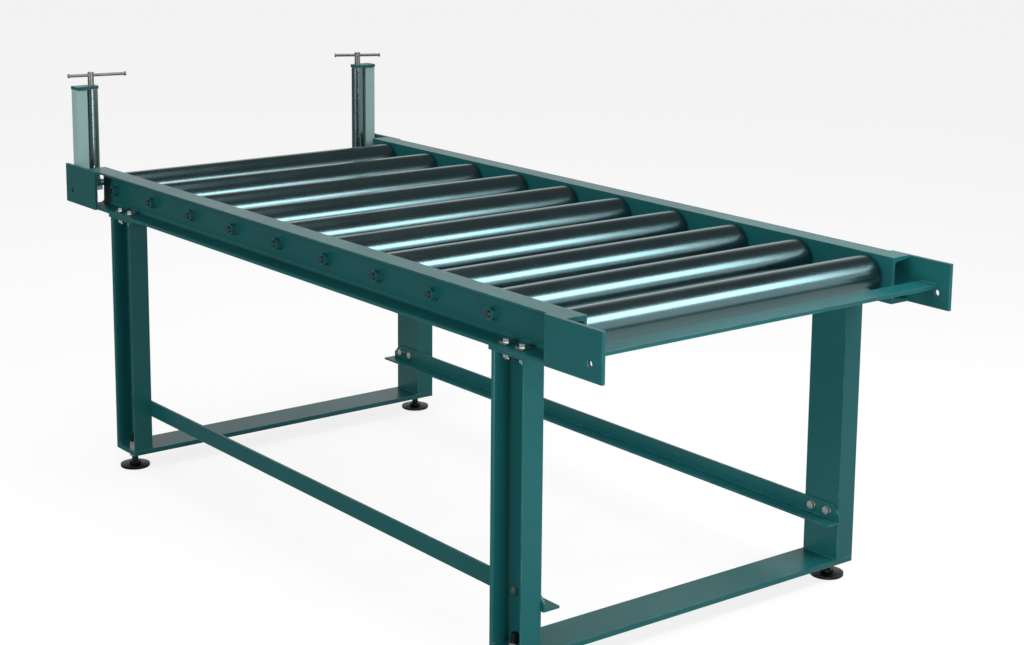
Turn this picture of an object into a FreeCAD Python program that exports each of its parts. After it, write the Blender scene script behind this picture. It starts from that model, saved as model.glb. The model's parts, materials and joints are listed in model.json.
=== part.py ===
import FreeCAD, Part
import math
import os
import Sketcher

# Outfeed roller table for a saw: two channel rails on four channel legs carry ten
# free-running rollers, and a pair of upright guide rollers stands at the far end.
#
# Millimetres. +X runs along the table, from the guide rollers at -X to the saw at +X,
# +Y from the front rail to the rear rail, +Z up. The origin is on the floor under the
# middle of the table.

doc = FreeCAD.newDocument("OutfeedTable")
sheet = doc.addObject("Spreadsheet::Sheet", "Dimensions")


class Size:
    """A length that knows its number and the formula that it comes from."""

    def __init__(self, number, formula=None):
        self.number = float(number)
        self.formula = formula or repr(self.number)

    def joined(self, sign, other, number):
        return Size(number, "({} {} {})".format(self.formula, sign, other.formula))

    def __add__(self, other):
        other = size(other)
        return self.joined("+", other, self.number + other.number)

    def __sub__(self, other):
        other = size(other)
        return self.joined("-", other, self.number - other.number)

    def __mul__(self, other):
        other = size(other)
        return self.joined("*", other, self.number * other.number)

    def __truediv__(self, other):
        other = size(other)
        return self.joined("/", other, self.number / other.number)

    def __neg__(self):
        return size(0) - self


def size(value):
    """Any number or size as a Size."""
    return value if isinstance(value, Size) else Size(value)


rows = []


def dimension(alias, number, meaning):
    """Put one driving dimension in the sheet and read it back as a Size."""
    rows.append(alias)
    row = len(rows)
    sheet.set("A{}".format(row), meaning)
    sheet.set("B{}".format(row), "{:g}".format(number))
    sheet.setAlias("B{}".format(row), alias)
    sheet.recompute()
    return Size(sheet.get(alias), "Dimensions." + alias)


class Fastener:
    """Sheet dimensions of a hexagon bolt, its nut and its washer."""

    def __init__(self, name, radius, flats, head, nut, washer_radius, washer_thickness):
        self.radius = dimension(name + "_radius", radius, name + ", shank radius")
        self.flats = dimension(name + "_flats", flats, name + ", across the flats")
        self.head = dimension(name + "_head", head, name + ", height of the head")
        self.nut = dimension(name + "_nut", nut, name + ", height of the nut")
        self.washer_radius = dimension(name + "_washer", washer_radius, name + ", washer radius")
        self.washer_thickness = dimension(
            name + "_washer_thickness", washer_thickness, name + ", washer thickness"
        )


# --- driving dimensions -----------------------------------------------------------

table_height = dimension("table_height", 760, "floor to the top of the rails")
clear_width = dimension("clear_width", 837, "between the webs of the two rails")
rail_length = dimension("rail_length", 1950, "rail, end to end")

channel_height = dimension("channel_height", 100, "rolled channel, height of the web")
channel_width = dimension("channel_width", 50, "rolled channel, width of a flange")
channel_web = dimension("channel_web", 6, "rolled channel, thickness of the web")
channel_flange = dimension("channel_flange", 8.5, "rolled channel, middle of the flange")
channel_taper = dimension("channel_taper", 0.08, "rolled channel, slope inside a flange")
channel_root = dimension("channel_root", 8.5, "rolled channel, root radius")
channel_toe = dimension("channel_toe", 4.5, "rolled channel, toe radius")

roller_count = 10
roller_pitch = dimension("roller_pitch", 200, "roller to roller")
roller_shift = dimension("roller_shift", 3, "middle of the rollers past the middle")
roller_radius = dimension("roller_radius", 44.5, "roller tube, outside")
roller_wall = dimension("roller_wall", 3, "roller tube, wall")
roller_gap = dimension("roller_gap", 4.5, "end of a roller tube to the web")
cap_inset = dimension("cap_inset", 2, "end cap below the end of the tube")
cap_wall = dimension("cap_wall", 4, "end cap, wall")
cap_depth = dimension("cap_depth", 20, "end cap, depth in the tube")
bearing_outer = dimension("bearing_outer", 23.5, "bearing, outside radius")
bearing_race = dimension("bearing_race", 15, "bearing, outside of the inner ring")
bearing_width = dimension("bearing_width", 14, "bearing, width")
bearing_play = dimension("bearing_play", 0.4, "bearing, play between the rings")
axle_radius = dimension("axle_radius", 10, "roller axle, between the webs")
stud_radius = dimension("stud_radius", 8, "M16 thread at the ends of an axle")
stud_reach = dimension("stud_reach", 20, "axle end past the outside of the web")

leg_centre = dimension("leg_centre", 801, "middle of the table to the middle of a leg")
head_length = dimension("head_length", 120, "head plate of a leg, along the rail")
head_thickness = dimension("head_thickness", 8, "head plate of a leg")
head_bolt_pitch = dimension("head_bolt_pitch", 50, "between the bolts of a leg")
head_bolt_reach = dimension("head_bolt_reach", 30, "leg bolts out from the web face")

tie_width = dimension("tie_width", 100, "floor tie, along the table")
tie_thickness = dimension("tie_thickness", 12, "floor tie")
tie_height = dimension("tie_height", 42, "floor to the underside of the tie")

angle_side = dimension("angle_side", 40, "stretcher angle, side")
angle_thickness = dimension("angle_thickness", 5, "stretcher angle, thickness")
angle_height = dimension("angle_height", 140, "floor to the underside of the stretcher")
angle_overhang = dimension("angle_overhang", 8, "stretcher past the edge of a leg")
angle_snip = dimension("angle_snip", 22, "corner cut off the upright side")
angle_bolt_pitch = dimension("angle_bolt_pitch", 46, "between the bolts of a stretcher end")
angle_bolt_height = dimension("angle_bolt_height", 24, "bolts above the underside")

table_length = dimension("table_length", 2173, "outside of the end plates")
plate_length = dimension("plate_length", 165, "end plate, along the rail")
plate_thickness = dimension("plate_thickness", 8, "end plate")
plate_hole_radius = dimension("plate_hole_radius", 7, "coupling hole")
plate_hole_inset = dimension("plate_hole_inset", 34, "coupling hole in from the end")
plate_hole_drop = dimension("plate_hole_drop", 67, "coupling hole below the rail top")

bar_width = dimension("bar_width", 50, "cross bar, along the table")
bar_thickness = dimension("bar_thickness", 8, "cross bar")
bar_drop = dimension("bar_drop", 50, "top of the cross bars below the rail top")
saw_bar_centre = dimension("saw_bar_centre", 1029, "cross bar at the saw end")

pad_radius = dimension("pad_radius", 37.5, "levelling foot, pad")
pad_thickness = dimension("pad_thickness", 7, "levelling foot, rim of the pad")
foot_hub_radius = dimension("foot_hub_radius", 15, "levelling foot, hub")
foot_hub_top = dimension("foot_hub_top", 15, "levelling foot, top of the hub")
foot_top = dimension("foot_top", 86, "levelling foot, top of the M16 stem")
running_play = dimension("running_play", 0.06, "radial play of the turning fits")

guide_centre = dimension("guide_centre", 1049, "guide rollers from the middle")
guide_axis = dimension("guide_axis", 416, "guide rollers from the middle, at their widest")
guide_travel = dimension("guide_travel", 300, "how far each guide roller slides inwards")
guide_radius = dimension("guide_radius", 17, "guide roller tube, outside")
guide_wall = dimension("guide_wall", 3, "guide roller tube, wall")
guide_play = dimension("guide_play", 2, "guide tube to the bracket plates")
upright_gap = dimension("upright_gap", 1.5, "guide tube to the upright")
upright_side = dimension("upright_side", 30, "guide upright, square")
bracket_rise = dimension("bracket_rise", 205, "top of the guide bracket above the rails")
bracket_plate = dimension("bracket_plate", 8, "guide bracket, plates")
bracket_width = dimension("bracket_width", 36, "guide bracket, plates across")
bush_flange = dimension("bush_flange", 1.5, "guide bush, flange")
bush_length = dimension("bush_length", 18, "guide bush, in the tube")
slot_play = dimension("slot_play", 1.5, "guide spindle to the sides of its slot")
slot_spare = dimension("slot_spare", 8, "slot past each end of the guide's travel")
spindle_radius = dimension("spindle_radius", 7, "guide spindle in the roller")
spindle_head_radius = dimension("spindle_head_radius", 8, "guide spindle above the bracket")
spindle_head_rise = dimension("spindle_head_rise", 35, "spindle head above the bracket")
clamp_length = dimension("clamp_length", 40, "clamp nut, across the slot")
clamp_width = dimension("clamp_width", 30, "clamp nut, along the slot")
clamp_thickness = dimension("clamp_thickness", 12, "clamp nut")
tommy_rise = dimension("tommy_rise", 27, "tommy bar above the bracket")
tommy_radius = dimension("tommy_radius", 4, "tommy bar")
tommy_stop_radius = dimension("tommy_stop_radius", 5.5, "collar at the end of the bar")
tommy_stop_length = dimension("tommy_stop_length", 4, "collar at the end of the bar")

axle_nut = Fastener("axle_nut", 8, 24, 10, 13, 15, 3)
leg_bolt = Fastener("leg_bolt", 6, 19, 7.5, 10.5, 12, 2.5)
angle_bolt = Fastener("angle_bolt", 5, 17, 6.5, 8.5, 10, 2)
foot_nut = Fastener("foot_nut", 8, 24, 10, 13, 15, 3)

doc.recompute()

# --- places worked out from them --------------------------------------------------

web_face = clear_width / 2
web_outside = web_face + channel_web
flange_edge = web_face + channel_width
rail_middle = table_height - channel_height / 2
rail_underside = table_height - channel_height
tie_top = tie_height + tie_thickness
leg_length = rail_underside - head_thickness - tie_top
bar_top = table_height - bar_drop
bar_underside = bar_top - bar_thickness
bracket_height = bar_drop + bracket_rise
bracket_top = bar_top + bracket_height
foot_axis = web_face + channel_width / 2
cap_face = web_face - roller_gap - cap_inset
half_length = table_length / 2
first_roller = roller_shift - roller_pitch * ((roller_count - 1) / 2)
fronts = (("front", -1), ("rear", 1))
ends = (("left", -1), ("right", 1))

# --- ways of making pieces --------------------------------------------------------


def new_body(label):
    """An empty body whose label is the name of the piece."""
    body = doc.addObject("PartDesign::Body", label)
    body.Label = label
    body.AllowCompound = True
    return body


def place(piece, x=0, y=0, z=0):
    """Move a piece to a place given by sizes."""
    for axis, value in zip("xyz", (x, y, z)):
        piece.setExpression("Placement.Base." + axis, size(value).formula)


def new_sketch(body, plane):
    """A sketch on one of the body's own origin planes."""
    sketch = body.newObject("Sketcher::SketchObject", body.Label + "_sketch")
    origin_plane = [f for f in body.Origin.OriginFeatures if f.Role == plane][0]
    sketch.AttachmentSupport = (origin_plane, "")
    sketch.MapMode = "FlatFace"
    return sketch


def pin_point(sketch, geometry, end, x, y):
    """Hold one point of a sketch at sizes measured from the origin."""
    for kind, value in (("DistanceX", size(x)), ("DistanceY", size(y))):
        rule = sketch.addConstraint(
            Sketcher.Constraint(kind, -1, 1, geometry, end, value.number)
        )
        sketch.setExpression("Constraints[{}]".format(rule), value.formula)


def draw_outline(sketch, corners):
    """A closed outline with straight sides through the corners."""
    corners = [(size(x), size(y)) for x, y in corners]
    sides = []
    for (x0, y0), (x1, y1) in zip(corners, corners[1:] + corners[:1]):
        start = FreeCAD.Vector(x0.number, y0.number, 0)
        finish = FreeCAD.Vector(x1.number, y1.number, 0)
        sides.append(sketch.addGeometry(Part.LineSegment(start, finish), False))
    for side, following in zip(sides, sides[1:] + sides[:1]):
        sketch.addConstraint(Sketcher.Constraint("Coincident", side, 2, following, 1))
    for side, (x, y) in zip(sides, corners):
        pin_point(sketch, side, 1, x, y)


def draw_circle(sketch, radius, x=0, y=0):
    """A circle of one size about a point."""
    radius, x, y = size(radius), size(x), size(y)
    centre = FreeCAD.Vector(x.number, y.number, 0)
    circle = sketch.addGeometry(
        Part.Circle(centre, FreeCAD.Vector(0, 0, 1), radius.number), False
    )
    rule = sketch.addConstraint(Sketcher.Constraint("Radius", circle, radius.number))
    sketch.setExpression("Constraints[{}]".format(rule), radius.formula)
    pin_point(sketch, circle, 3, x, y)


def draw_slot(sketch, radius, start, finish):
    """A slot with round ends along the sketch's upright axis."""
    radius, start, finish = size(radius), size(start), size(finish)
    low, high = sorted((start, finish), key=lambda end: end.number)
    normal = FreeCAD.Vector(0, 0, 1)
    lower_circle = Part.Circle(FreeCAD.Vector(0, low.number, 0), normal, radius.number)
    upper_circle = Part.Circle(FreeCAD.Vector(0, high.number, 0), normal, radius.number)
    lower = sketch.addGeometry(Part.ArcOfCircle(lower_circle, math.pi, 2 * math.pi), False)
    upper = sketch.addGeometry(Part.ArcOfCircle(upper_circle, 0, math.pi), False)
    walls = []
    for edge in (radius.number, -radius.number):
        bottom = FreeCAD.Vector(edge, low.number, 0)
        top = FreeCAD.Vector(edge, high.number, 0)
        walls.append(sketch.addGeometry(Part.LineSegment(bottom, top), False))
    right, left = walls
    for first, first_end, second, second_end in (
        (lower, 2, right, 1),
        (right, 2, upper, 1),
        (upper, 2, left, 2),
        (left, 1, lower, 1),
    ):
        sketch.addConstraint(
            Sketcher.Constraint("Tangent", first, first_end, second, second_end)
        )
    rule = sketch.addConstraint(Sketcher.Constraint("Radius", lower, radius.number))
    sketch.setExpression("Constraints[{}]".format(rule), radius.formula)
    pin_point(sketch, lower, 3, 0, low)
    pin_point(sketch, upper, 3, 0, high)


def box_corners(x0, x1, y0, y1):
    """The four corners of a rectangle."""
    return [(x0, y0), (x1, y0), (x1, y1), (x0, y1)]


def pad(body, sketch, length, midplane=False):
    """Extrude a sketch, up from its plane or to both sides of it."""
    feature = body.newObject("PartDesign::Pad", body.Label + "_pad")
    feature.Profile = sketch
    feature.setExpression("Length", size(length).formula)
    feature.Midplane = midplane
    sketch.Visibility = False
    return feature


def revolve(body, sketch, axis="V_Axis"):
    """Turn a sketch right round one of its own axes."""
    feature = body.newObject("PartDesign::Revolution", body.Label + "_turned")
    feature.Profile = sketch
    feature.ReferenceAxis = (sketch, [axis])
    feature.Angle = 360
    return feature


def drill(body, plane, radius, centres):
    """Cut round holes right through, both ways from an origin plane."""
    sketch = new_sketch(body, plane)
    for x, y in centres:
        draw_circle(sketch, radius, x, y)
    feature = body.newObject("PartDesign::Pocket", body.Label + "_holes")
    feature.Profile = sketch
    feature.Type = "ThroughAll"
    feature.Midplane = True
    return sketch, feature


def repeat(body, feature, sketch, axis, span, count):
    """Repeat a feature in a row along an axis of its sketch."""
    pattern = body.newObject("PartDesign::LinearPattern", body.Label + "_row")
    pattern.Originals = [feature]
    pattern.Direction = (sketch, [axis])
    pattern.setExpression("Length", size(span).formula)
    pattern.Occurrences = count
    body.Tip = pattern
    return pattern


def edges_near(shape, direction, points, reach=0.6):
    """Names of the straight edges that run one way and pass near the points."""
    names = []
    for number, edge in enumerate(shape.Edges, 1):
        ends_of_edge = [vertex.Point for vertex in edge.Vertexes]
        if len(ends_of_edge) != 2:
            continue
        run = (ends_of_edge[1] - ends_of_edge[0]).normalize()
        if abs(run.dot(direction)) < 0.999:
            continue
        middle = (ends_of_edge[0] + ends_of_edge[1]) / 2
        if any((middle - point).Length < reach for point in points):
            names.append("Edge{}".format(number))
    return names


def round_edges(body, base, direction, points, radius):
    """Round the edges that pass near the points."""
    doc.recompute()
    feature = body.newObject("PartDesign::Fillet", body.Label + "_round")
    feature.Base = (base, edges_near(base.Shape, direction, points))
    feature.setExpression("Radius", size(radius).formula)
    return feature


def channel_corners(side):
    """Corners of the rolled channel: (out from the web face, across the web)."""
    toe = channel_flange - channel_taper * channel_width / 2
    root = channel_flange + channel_taper * (channel_width / 2 - channel_web)
    half = channel_height / 2
    corners = [
        (size(0), -half),
        (channel_width, -half),
        (channel_width, toe - half),
        (channel_web, root - half),
        (channel_web, half - root),
        (channel_width, half - toe),
        (channel_width, half),
        (size(0), half),
    ]
    return [((web_face + out) * side, across) for out, across in corners]


def round_channel(body, base, side, along, across):
    """Round the roots and the toes of a channel that runs one way."""
    corners = channel_corners(side)
    roots = [corners[3], corners[4]]
    toes = [corners[2], corners[5]]
    for picks, radius in ((roots, channel_root), (toes, channel_toe)):
        doc.recompute()
        middle = base.Shape.BoundBox.Center
        points = []
        for out, width in picks:
            point = across * width.number + FreeCAD.Vector(0, out.number, 0)
            points.append(point + along * middle.dot(along))
        base = round_edges(body, base, along, points, radius)
    return base


def group(label, solids):
    """Identical small pieces, kept as separate solids under one name."""
    feature = doc.addObject("Part::Feature", label)
    feature.Label = label
    feature.Shape = Part.makeCompound(solids)
    return feature


def hex_prism(flats, height, base, direction, bore=None):
    """A hexagonal head or nut that stands on base and points along direction."""
    reach = flats.number / math.sqrt(3)
    corners = []
    for step in range(7):
        angle = math.radians(60 * step + 30)
        corners.append(FreeCAD.Vector(reach * math.cos(angle), reach * math.sin(angle), 0))
    hexagon = Part.Face(Part.makePolygon(corners))
    solid = hexagon.extrude(FreeCAD.Vector(0, 0, height.number))
    if bore:
        solid = solid.cut(Part.makeCylinder(bore.number, height.number))
    turn = FreeCAD.Rotation(FreeCAD.Vector(0, 0, 1), direction)
    solid.Placement = FreeCAD.Placement(base, turn)
    return solid


def washer(kind, base, direction):
    """A flat washer of a fastener, lying on base."""
    height = kind.washer_thickness.number
    disc = Part.makeCylinder(kind.washer_radius.number, height)
    solid = disc.cut(Part.makeCylinder(kind.radius.number, height))
    turn = FreeCAD.Rotation(FreeCAD.Vector(0, 0, 1), direction)
    solid.Placement = FreeCAD.Placement(base, turn)
    return solid


def nut(kind, base, direction, play=0):
    """A hexagon nut of a fastener, lying on base."""
    return hex_prism(kind.flats, kind.nut, base, direction, kind.radius + play)


def bolt(kind, length, base, direction):
    """A hexagon bolt: its head stands on base, its shank goes the other way."""
    shank = Part.makeCylinder(kind.radius.number, length, base, -direction)
    head = hex_prism(kind.flats, kind.head, base, direction)
    return head.fuse(shank).removeSplitter()


axis_x = FreeCAD.Vector(1, 0, 0)
axis_y = FreeCAD.Vector(0, 1, 0)
axis_z = FreeCAD.Vector(0, 0, 1)

# --- the frame --------------------------------------------------------------------


def make_rail(name, side):
    """A channel with its web towards the rollers and a row of axle holes."""
    body = new_body(name + "_rail")
    place(body, z=rail_middle)
    sketch = new_sketch(body, "YZ_Plane")
    draw_outline(sketch, channel_corners(side))
    bar = pad(body, sketch, rail_length, midplane=True)
    round_channel(body, bar, side, axis_x, axis_z)
    doc.recompute()
    axle_hole = new_sketch(body, "XZ_Plane")
    draw_circle(axle_hole, stud_radius, first_roller, 0)
    pocket = body.newObject("PartDesign::Pocket", body.Label + "_axle_hole")
    pocket.Profile = axle_hole
    pocket.Type = "ThroughAll"
    pocket.Midplane = True
    doc.recompute()
    repeat(body, pocket, axle_hole, "H_Axis", roller_pitch * (roller_count - 1), roller_count)
    doc.recompute()
    centres = []
    for _, end in ends:
        for step in (-0.5, 0.5):
            x = leg_centre * end + head_bolt_pitch * step
            centres.append((x, (web_face + head_bolt_reach) * side))
    drill_below(body, centres)


def drill_below(body, centres):
    """Bolt holes down through the lower flange of a rail, from its middle."""
    sketch = new_sketch(body, "XY_Plane")
    for x, y in centres:
        draw_circle(sketch, leg_bolt.radius, x, y)
    feature = body.newObject("PartDesign::Pocket", body.Label + "_leg_holes")
    feature.Profile = sketch
    feature.Type = "ThroughAll"
    doc.recompute()
    return feature


def make_leg(name, side, end):
    """A channel leg, its web towards the inside of the table."""
    body = new_body(name + "_leg")
    place(body, x=leg_centre * end, z=tie_top)
    sketch = new_sketch(body, "XY_Plane")
    draw_outline(sketch, [(across, out) for out, across in channel_corners(side)])
    bar = pad(body, sketch, leg_length)
    round_channel(body, bar, side, axis_z, axis_x)
    doc.recompute()
    height = angle_height + angle_bolt_height - tie_top
    centres = [(angle_bolt_pitch * step, height) for step in (-0.5, 0.5)]
    drill(body, "XZ_Plane", angle_bolt.radius, centres)


def make_head_plates():
    """The plates on top of the legs, bolted to the rails."""
    plates = []
    for _, side in fronts:
        for _, end in ends:
            corner = FreeCAD.Vector(
                leg_centre.number * end - head_length.number / 2,
                min(web_face.number * side, flange_edge.number * side),
                (rail_underside - head_thickness).number,
            )
            plate = Part.makeBox(
                head_length.number, channel_width.number, head_thickness.number, corner
            )
            for x, y in leg_bolt_places(side, end):
                hole = Part.makeCylinder(
                    leg_bolt.radius.number,
                    head_thickness.number,
                    FreeCAD.Vector(x, y, corner.z),
                )
                plate = plate.cut(hole)
            plates.append(plate)
    group("leg_head_plates", plates)


def leg_bolt_places(side, end):
    """Where the two bolts of a leg stand."""
    y = (web_face + head_bolt_reach).number * side
    half = head_bolt_pitch.number / 2
    return [(leg_centre.number * end + step, y) for step in (-half, half)]


def make_stretcher(name, side):
    """An angle between two legs, its flat side inwards at the bottom."""
    body = new_body(name + "_stretcher")
    place(body, z=angle_height)
    inside = web_face - angle_thickness
    sketch = new_sketch(body, "YZ_Plane")
    draw_outline(
        sketch,
        [
            (web_face * side, 0),
            (web_face * side, angle_side),
            (inside * side, angle_side),
            (inside * side, angle_thickness),
            ((web_face - angle_side) * side, angle_thickness),
            ((web_face - angle_side) * side, 0),
        ],
    )
    length = leg_centre * 2 + channel_height + angle_overhang * 2
    bar = pad(body, sketch, length, midplane=True)
    doc.recompute()
    y = (inside + angle_thickness / 2).number * side
    tops = [
        FreeCAD.Vector(length.number / 2 * end, y, angle_side.number) for _, end in ends
    ]
    snip = body.newObject("PartDesign::Chamfer", body.Label + "_snip")
    snip.Base = (bar, edges_near(bar.Shape, axis_y, tops))
    snip.setExpression("Size", angle_snip.formula)
    doc.recompute()
    centres = []
    for _, end in ends:
        for step in (-0.5, 0.5):
            centres.append((leg_centre * end + angle_bolt_pitch * step, angle_bolt_height))
    drill(body, "XZ_Plane", angle_bolt.radius, centres)


def make_tie(name, end):
    """A flat bar across the foot of two legs, drilled for the levelling feet."""
    body = new_body(name + "_floor_tie")
    place(body, x=leg_centre * end, z=tie_height)
    sketch = new_sketch(body, "XY_Plane")
    half = tie_width / 2
    draw_outline(sketch, box_corners(-half, half, -flange_edge, flange_edge))
    pad(body, sketch, tie_thickness)
    doc.recompute()
    centres = [(0, foot_axis * side) for _, side in fronts]
    drill(body, "XY_Plane", foot_nut.radius + 0.5, centres)


def make_end_plate(name, side, end):
    """A plate welded to the toes of a rail, with the coupling hole in its free end."""
    body = new_body(name + "_end_plate")
    place(body, y=(flange_edge + plate_thickness / 2) * side, z=rail_middle)
    outer = half_length * end
    inner = (half_length - plate_length) * end
    half = channel_height / 2
    sketch = new_sketch(body, "XZ_Plane")
    draw_outline(sketch, box_corners(inner, outer, -half, half))
    draw_circle(
        sketch,
        plate_hole_radius,
        (half_length - plate_hole_inset) * end,
        half - plate_hole_drop,
    )
    pad(body, sketch, plate_thickness, midplane=True)


def make_cross_bar(name, centre, slotted):
    """A flat bar between the end plates, slotted where it carries the guide rollers."""
    body = new_body(name + "_cross_bar")
    place(body, x=centre, z=bar_underside)
    sketch = new_sketch(body, "XY_Plane")
    half = bar_width / 2
    draw_outline(sketch, box_corners(-half, half, -flange_edge, flange_edge))
    if slotted:
        for _, side in fronts:
            near = (guide_axis - guide_travel - slot_spare) * side
            far = (guide_axis + slot_spare) * side
            draw_slot(sketch, spindle_radius + slot_play, near, far)
    pad(body, sketch, bar_thickness)


# --- the rollers ------------------------------------------------------------------


def make_roller(number):
    """A roller tube and, in its ends, the caps with the outer bearing rings."""
    x = first_roller + roller_pitch * (number - 1)
    tube = new_body("roller_tube_{}".format(number))
    place(tube, x=x, z=rail_middle)
    sketch = new_sketch(tube, "XZ_Plane")
    draw_circle(sketch, roller_radius)
    draw_circle(sketch, roller_radius - roller_wall)
    pad(tube, sketch, clear_width - roller_gap * 2, midplane=True)

    caps = new_body("roller_ends_{}".format(number))
    place(caps, x=x, z=rail_middle)
    sketch = new_sketch(caps, "XY_Plane")
    for _, side in fronts:
        draw_outline(sketch, cap_profile(side))
    revolve(caps, sketch)


def cap_profile(side):
    """Half section of a pressed end cap with its bearing: (radius, along the axle)."""
    bore = bearing_race + bearing_play
    rim = roller_radius - roller_wall
    hub = bearing_outer + cap_wall
    face = cap_face
    step = face - cap_wall
    corners = [
        (bore, face),
        (rim, face),
        (rim, face - cap_depth),
        (rim - cap_wall, face - cap_depth),
        (rim - cap_wall, step),
        (hub, step),
        (hub, face - bearing_width - cap_wall),
        (bore, face - bearing_width - cap_wall),
    ]
    return [(radius, along * side) for radius, along in corners]


def make_axles():
    """The fixed axles, shouldered between the webs and threaded outside them."""
    body = new_body("roller_axles")
    place(body, x=first_roller, z=rail_middle)
    tip = web_outside + stud_reach
    sketch = new_sketch(body, "XY_Plane")
    draw_outline(
        sketch,
        [
            (0, -tip),
            (stud_radius, -tip),
            (stud_radius, -web_face),
            (axle_radius, -web_face),
            (axle_radius, web_face),
            (stud_radius, web_face),
            (stud_radius, tip),
            (0, tip),
        ],
    )
    turned = revolve(body, sketch)
    doc.recompute()
    repeat(body, turned, sketch, "H_Axis", roller_pitch * (roller_count - 1), roller_count)


def make_inner_rings():
    """The inner bearing rings, which stay still on the axles."""
    body = new_body("bearing_inner_rings")
    place(body, x=first_roller, z=rail_middle)
    sketch = new_sketch(body, "XY_Plane")
    for _, side in fronts:
        outer = web_face * side
        inner = (cap_face - bearing_width) * side
        draw_outline(sketch, box_corners(axle_radius, bearing_race, inner, outer))
    turned = revolve(body, sketch)
    doc.recompute()
    repeat(body, turned, sketch, "H_Axis", roller_pitch * (roller_count - 1), roller_count)


# --- the guide rollers ------------------------------------------------------------

# Each tommy bar: its length, its turn from +X as it was left, and how far it was slid.
tommy_length = {
    "front": dimension("front_tommy_length", 154, "front tommy bar, length"),
    "rear": dimension("rear_tommy_length", 130, "rear tommy bar, length"),
}
tommy_turn = {
    "front": dimension("front_tommy_turn", 79.5, "front tommy bar, turn from +X"),
    "rear": dimension("rear_tommy_turn", 62, "rear tommy bar, turn from +X"),
}
tommy_slide = {
    "front": dimension("front_tommy_slide", 17, "front tommy bar, slid rearwards"),
    "rear": dimension("rear_tommy_slide", 0, "rear tommy bar, slid rearwards"),
}


def make_guide_upright(name, side):
    """The square bar behind a guide roller, between the two plates of its bracket."""
    body = new_body(name + "_guide_upright")
    place(body, x=-guide_centre, y=guide_axis * side, z=bar_top + bracket_plate)
    inner = guide_radius + upright_gap
    outer = inner + upright_side
    half = upright_side / 2
    sketch = new_sketch(body, "XY_Plane")
    draw_outline(sketch, box_corners(-half, half, inner * side, outer * side))
    pad(body, sketch, bracket_height - bracket_plate * 2)


def make_guide_plates(name, side):
    """The two plates welded across an upright, which hold the ends of the spindle."""
    body = new_body(name + "_guide_plates")
    place(body, x=-guide_centre, y=guide_axis * side, z=bar_top)
    outer = guide_radius + upright_gap + upright_side
    width = bracket_width / 2
    nose = -guide_radius
    for level in (size(0), bracket_height - bracket_plate):
        outline = new_sketch(body, "XY_Plane")
        outline.setExpression("AttachmentOffset.Base.z", level.formula)
        draw_outline(outline, box_corners(-width, width, nose * side, outer * side))
        draw_circle(outline, spindle_radius + running_play)
        plate = pad(body, outline, bracket_plate)
        doc.recompute()
        middle = (level + bracket_plate / 2).number
        corners = [
            FreeCAD.Vector(width.number * step, nose.number * side, middle)
            for step in (-1, 1)
        ]
        round_edges(body, plate, axis_z, corners, guide_radius * 0.7)
        doc.recompute()


def make_guide_roller(name, side):
    """The upright guide roller: a tube on two flanged bushes."""
    low = bar_top + bracket_plate + guide_play
    length = bracket_height - (bracket_plate + guide_play) * 2
    bore = spindle_radius + running_play
    tube = new_body(name + "_guide_roller")
    place(tube, x=-guide_centre, y=guide_axis * side, z=low)
    sketch = new_sketch(tube, "XY_Plane")
    draw_circle(sketch, guide_radius)
    draw_circle(sketch, guide_radius - guide_wall)
    pad(tube, sketch, length)

    bushes = new_body(name + "_guide_bushes")
    place(bushes, x=-guide_centre, y=guide_axis * side, z=low)
    inner = guide_radius - guide_wall
    rim = guide_radius - 1
    sketch = new_sketch(bushes, "XZ_Plane")
    for start, inward in ((size(0), 1), (length, -1)):
        draw_outline(
            sketch,
            [
                (bore, start - bush_flange * inward),
                (rim, start - bush_flange * inward),
                (rim, start),
                (inner, start),
                (inner, start + bush_length * inward),
                (bore, start + bush_length * inward),
            ],
        )
    revolve(bushes, sketch)


def make_guide_spindle(name, side):
    """The spindle through the guide roller, its head cross-drilled for the bar."""
    body = new_body(name + "_guide_spindle")
    place(body, x=-guide_centre, y=guide_axis * side, z=bracket_top)
    tail = -bracket_height - bar_thickness - clamp_thickness - 4
    shoulder = size(0.3)
    chamfer = size(1.5)
    sketch = new_sketch(body, "XZ_Plane")
    draw_outline(
        sketch,
        [
            (0, tail),
            (spindle_radius - chamfer, tail),
            (spindle_radius, tail + chamfer),
            (spindle_radius, shoulder),
            (spindle_head_radius, shoulder),
            (spindle_head_radius, spindle_head_rise - chamfer),
            (spindle_head_radius - chamfer, spindle_head_rise),
            (0, spindle_head_rise),
        ],
    )
    revolve(body, sketch)
    doc.recompute()
    drill(body, "YZ_Plane", tommy_radius + running_play, [(0, tommy_rise)])
    body.Placement.Rotation = FreeCAD.Rotation(axis_z, tommy_turn[name].number)


def make_tommy_bar(name, side):
    """The sliding bar in the spindle's head, with a collar at each end."""
    body = new_body(name + "_tommy_bar")
    half = tommy_length[name] / 2
    stop = half - tommy_stop_length
    slid = tommy_slide[name]
    sketch = new_sketch(body, "XY_Plane")
    draw_outline(
        sketch,
        [
            (slid - half, 0),
            (slid - half, tommy_stop_radius),
            (slid - stop, tommy_stop_radius),
            (slid - stop, tommy_radius),
            (slid + stop, tommy_radius),
            (slid + stop, tommy_stop_radius),
            (slid + half, tommy_stop_radius),
            (slid + half, 0),
        ],
    )
    revolve(body, sketch, "H_Axis")
    place(body, x=-guide_centre, y=guide_axis * side, z=bracket_top + tommy_rise)
    body.Placement.Rotation = FreeCAD.Rotation(axis_z, tommy_turn[name].number)


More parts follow.
